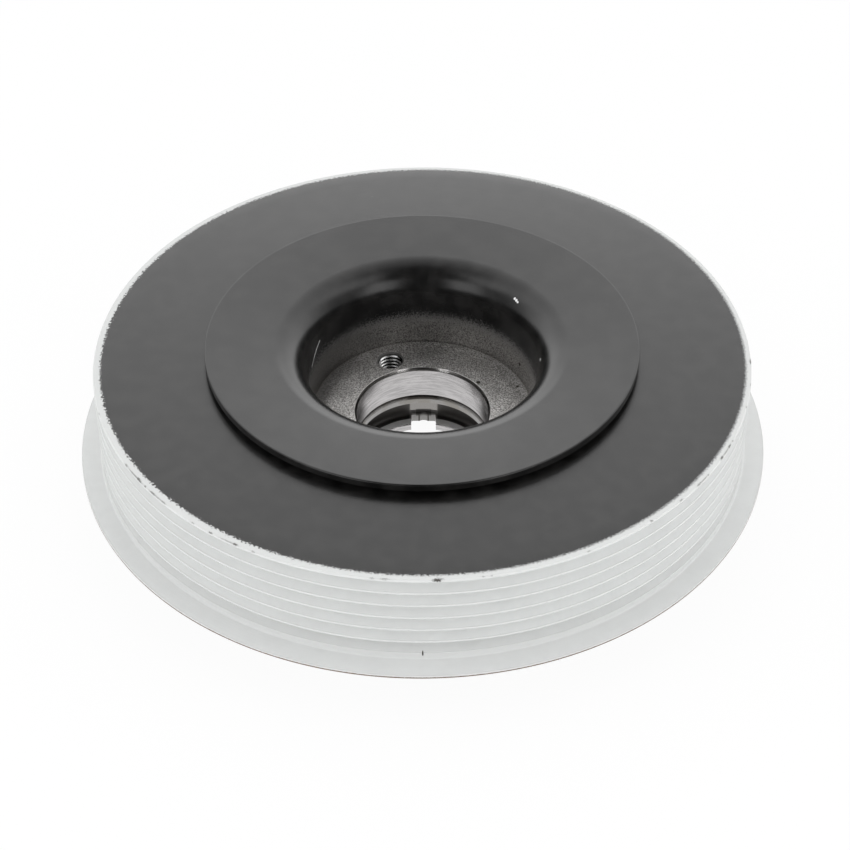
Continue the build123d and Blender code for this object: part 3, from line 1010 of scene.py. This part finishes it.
def hub_look():
    """Finish of the hub: a black coat that ends in speckles in the cup, and bare metal below it."""
    look = Look("hub_finish")
    fine = look.noise(scale=1.8, detail=4.0, roughness=0.62)
    coarse = look.noise(scale=0.22, detail=3.0)
    grit = look.noise(scale=3.2, detail=3.0, roughness=0.75)
    limit = look.step(look.z, BARE_BOSS_HEIGHT - 0.5, BARE_BOSS_HEIGHT, BARE_BOSS_RADIUS, BARE_CUP_RADIUS)
    within = look.math("LESS_THAN", look.radius, limit)
    frayed = look.math("ADD", look.z, look.swing(grit, FRAY_HEIGHT))
    bare = look.both(within, look.below(frayed, BARE_CUP_HEIGHT, soft=3.0))

    # The cup's metal, then the bore's, then the mouths of the recess and the puller holes.
    bore = look.either(look.both(look.below(look.radius, BORE_EDGE_RADIUS + 0.075, soft=0.15),
                                 look.below(look.z, CUP_FLOOR + 0.4, soft=0.2)),
                       look.below(look.z, CUP_FLOOR - BORE_METAL_DEPTH, soft=0.2))
    bore_colour, rough_bore, dull_bore = bore_metal(look, coarse)
    metal = look.blend(bore, cup_metal(look, grit, coarse), bore_colour)
    metal = recess_mouth(look, metal)
    distance = puller_distance(look)
    in_hole = look.both(look.below(distance, PULLER_HOLE_RADIUS + 0.08, soft=0.08),
                        look.above(look.z, CUP_FLOOR - PULLER_HOLE_DEPTH - 1.25, soft=0.5))
    mouth_radius = PULLER_HOLE_RADIUS + PULLER_HOLE_CHAMFER
    hole_mouth = look.both(look.window(distance, PULLER_HOLE_RADIUS - 0.05, mouth_radius, soft=0.05),
                           look.window(look.z, CUP_FLOOR - HOLE_MOUTH_DEPTH, CUP_FLOOR - 0.02, soft=0.05))
    # Painted shade darkens the puller holes' insides and the rings of their mouths.
    metal = look.blend(in_hole, metal, DARK_STEEL_AND_SHADE)
    metal = look.blend(hole_mouth, metal, HOLE_MOUTH)
    metal = look.blend(spots(look, CUP_SPECKS, fine), metal, DARK_STEEL_AND_SHADE)

    pale = look.either(spots(look, CUP_CHIPS, fine), look.both(scratch_line(look), within))
    colour = look.blend(bare, coated(look, coarse), metal)
    look.set("Base Color", look.blend(pale, colour, SCRATCH_WHITE))
    dull = look.either(pale, hole_mouth, dull_bore)
    look.set("Metallic", look.both(bare, look.other(dull)))
    in_bore = look.mix(rough_bore, look.mix(fine, *BORE_ROUGHNESS), ROUGH_BORE)
    bare_roughness = look.mix(bore, look.mix(grit, *CUP_ROUGHNESS), in_bore)
    look.set("Roughness", look.mix(bare, look.mix(fine, *COAT_ROUGHNESS), bare_roughness))
    in_cup = look.both(within, look.below(look.z, DULL_COAT_HEIGHT, soft=3.0))
    look.set("Specular IOR Level", look.mix(in_cup, COAT_SHINE, CUP_COAT_SHINE))
    look.set("IOR", COAT_IOR)

    turned = look.noise(scale=4.0, detail=3.0, roughness=0.6, where=look.drawn_round(1.2))
    grain = look.bump(fine, GRAIN_DEPTH)
    rings = look.bump(look.both(turned, bare), TURNED_DEPTH, grain)
    sparkle = look.both(grit, bare, look.other(bore))
    look.set("Normal", look.bump(sparkle, SPARKLE_DEPTH, rings))
    return look


def rubber_look():
    """Finish of the rubber ring: matt black."""
    look = Look("rubber_finish")
    fine = look.noise(scale=2.5, detail=4.0, roughness=0.6)
    coarse = look.noise(scale=0.3, detail=3.0)
    look.set("Base Color", look.blend(coarse, RUBBER_BLACK, RUBBER_WORN))
    look.set("Roughness", look.mix(fine, *RUBBER_ROUGHNESS))
    look.set("Normal", look.bump(fine, RUBBER_GRAIN_DEPTH))
    return look


def thread_look():
    """Finish of the threads: flanks that are bright near the crests, and painted shade down in the roots."""
    look = Look("thread_finish")
    fine = look.noise(scale=3.0, detail=4.0, roughness=0.6)
    # Painted shade darkens the thread's roots.
    root = look.above(puller_distance(look), PULLER_HOLE_RADIUS - 0.21, soft=0.18)
    look.set("Base Color", look.blend(root, THREAD_BRIGHT, THREAD_ROOT_SHADE))
    look.set("Metallic", 1.0)
    look.set("Roughness", look.mix(fine, *THREAD_ROUGHNESS))
    look.set("Normal", look.bump(fine, THREAD_GRAIN_DEPTH))
    return look


ring_look().wear(ring)
hub_look().wear(hub)
rubber_look().wear(rubber)
thread_look().wear(*threads)

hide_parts("pulley_ring")
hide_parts("rubber_ring")
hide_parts("hub")
for piece, slot_name in ((ring, "ring_coat"), (rubber, "rubber"), (hub, "hub_coat")):
    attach(piece, "root")
for piece in threads:
    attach(piece, "root")

# ======== floor, light and camera ========

# Metres, and strengths of 1 for white.
FLOOR_SIZE = 6.0
FLOOR_WHITE = 0.88
FLOOR_SEEN_WHITE = 0.95

# The tent's levels, and where they change: turns from the front and rises from level, in degrees.
TENT_BACK = 1.72
TENT_SIDE = 1.31
TENT_TOP = 0.3
TENT_GAP = 0.3
TENT_PANEL = 1.5
TENT_SLOT = 0.01
TENT_FLASH = 1.2
BACK_TURN = (70, 140)
BACK_FADE = (20, 102)
SIDE_FADE = (50, 74)
SIDE_TURN = (36, 58)
GAP_RISE = (32, 44)
PANEL_TURN = (24, 53)
PANEL_RISE = (-4, 38)
SLOT_TURN = (24, 16)
FLASH_TURN = (162, 178)
FLASH_RISE = (16, 32)
PANEL_SOFT = 8

# Fill lamps: watts a square metre, and places and sizes in metres.
FILL_LEVEL = 10.5
FILL_PLACES = {"front_fill": (0, -1.2, 0.35), "left_fill": (-1.1, -0.3, 0.5), "right_fill": (1.1, -0.3, 0.5)}
FILL_WIDTH = 1.0
FILL_HEIGHT = 0.5
FILL_AIM = (0, 0, 0.02)

# The photograph's camera, fitted to the object's ellipses. Metres, degrees and millimetres of film.
CAMERA_PLACE = (0, -0.41453, 0.36633)
CAMERA_AIM = (0.00058, 0.0022, 0.0116)
CAMERA_AZIMUTH = 0.91
CAMERA_ROLL = -0.311
CAMERA_LENS = 96.52
CAMERA_FILM = 36
CAMERA_CLIP = 0.01


def make_floor():
    """Pale floor that shows almost white to the eye and in reflections, and keeps the shadow."""
    bpy.ops.mesh.primitive_plane_add(size=FLOOR_SIZE)
    floor = bpy.context.object
    floor.name = "floor"
    material = bpy.data.materials.new("floor_paper")
    material.use_nodes = True
    paper = Nodes(material.node_tree)
    paper.nodes.clear()
    diffuse = paper.nodes.new("ShaderNodeBsdfDiffuse")
    diffuse.inputs["Color"].default_value = (FLOOR_WHITE, FLOOR_WHITE, FLOOR_WHITE, 1)
    glow = paper.nodes.new("ShaderNodeEmission")
    path = paper.nodes.new("ShaderNodeLightPath")
    seen = paper.either(path.outputs["Is Camera Ray"], path.outputs["Is Glossy Ray"])
    mix = paper.nodes.new("ShaderNodeMixShader")
    paper.put(mix.inputs[0], paper.both(seen, FLOOR_SEEN_WHITE))
    paper.put(mix.inputs[1], diffuse.outputs[0])
    paper.put(mix.inputs[2], glow.outputs[0])
    output = paper.nodes.new("ShaderNodeOutputMaterial")
    paper.put(output.inputs[0], mix.outputs[0])
    floor.data.materials.append(material)


def softbox(name, place, width, height, strength):
    """Rectangular lamp that faces the object and doesn't show itself."""
    lamp = bpy.data.lights.new(name, "AREA")
    lamp.shape = "RECTANGLE"
    lamp.size = width
    lamp.size_y = height
    lamp.energy = strength * width * height
    box = new_object(name, lamp)
    box.location = place
    box.rotation_euler = (Vector(FILL_AIM) - Vector(place)).to_track_quat("-Z", "Y").to_euler()
    box.visible_camera = False
    box.visible_glossy = False


def make_world():
    """White tent that dims overhead and behind the camera, with two tall panels in front.

    To the eye it is plain white.
    """
    world = bpy.data.worlds.new("studio")
    bpy.context.scene.world = world
    world.use_nodes = True
    sky = Nodes(world.node_tree)
    direction = sky.nodes.new("ShaderNodeTexCoord").outputs["Generated"]
    x, y, z = sky.split(direction)
    across = sky.math("ABSOLUTE", x)
    turn = sky.math("DEGREES", sky.math("ARCTAN2", across, sky.both(y, -1.0)))
    rise = sky.math("DEGREES", sky.math("ARCSINE", z))
    back_level = sky.step(rise, *BACK_FADE, TENT_BACK, TENT_TOP)
    side_level = sky.both(sky.step(rise, *SIDE_FADE, TENT_SIDE, TENT_TOP), sky.step(turn, *SIDE_TURN))
    side_level = sky.mix(sky.step(rise, *GAP_RISE), TENT_GAP, side_level)
    level = sky.mix(sky.step(turn, *BACK_TURN), side_level, back_level)
    panel = sky.both(sky.window(turn, *PANEL_TURN, PANEL_SOFT), sky.window(rise, *PANEL_RISE, PANEL_SOFT))
    level = sky.mix(panel, level, TENT_PANEL)
    level = sky.mix(sky.step(turn, *SLOT_TURN), level, TENT_SLOT)
    flash = sky.both(sky.step(turn, *FLASH_TURN), sky.window(rise, *FLASH_RISE, PANEL_SOFT))
    level = sky.math("ADD", level, sky.both(flash, TENT_FLASH))
    seen = sky.nodes.new("ShaderNodeLightPath").outputs["Is Camera Ray"]
    background = sky.nodes["Background"]
    background.inputs["Color"].default_value = (1, 1, 1, 1)
    sky.put(background.inputs["Strength"], sky.mix(seen, level, 1.0))


def make_camera():
    """Camera at the photograph's place, aim, roll and angle of view."""
    data = bpy.data.cameras.new("camera")
    data.lens = CAMERA_LENS
    data.sensor_width = CAMERA_FILM
    data.clip_start = CAMERA_CLIP
    camera = new_object("camera", data)
    round_axis = Matrix.Rotation(math.radians(CAMERA_AZIMUTH), 3, "Z")
    place = round_axis @ Vector(CAMERA_PLACE)
    aim = round_axis @ Vector(CAMERA_AIM)
    roll = Matrix.Rotation(math.radians(CAMERA_ROLL), 3, "Z")
    turn = (aim - place).to_track_quat("-Z", "Y").to_matrix() @ roll
    camera.location = place
    camera.rotation_euler = turn.to_euler()
    bpy.context.scene.camera = camera


make_floor()
make_world()
for name, place in FILL_PLACES.items():
    softbox(name, place, FILL_WIDTH, FILL_HEIGHT, FILL_LEVEL)
make_camera()
bpy.context.scene.view_settings.view_transform = "Standard"
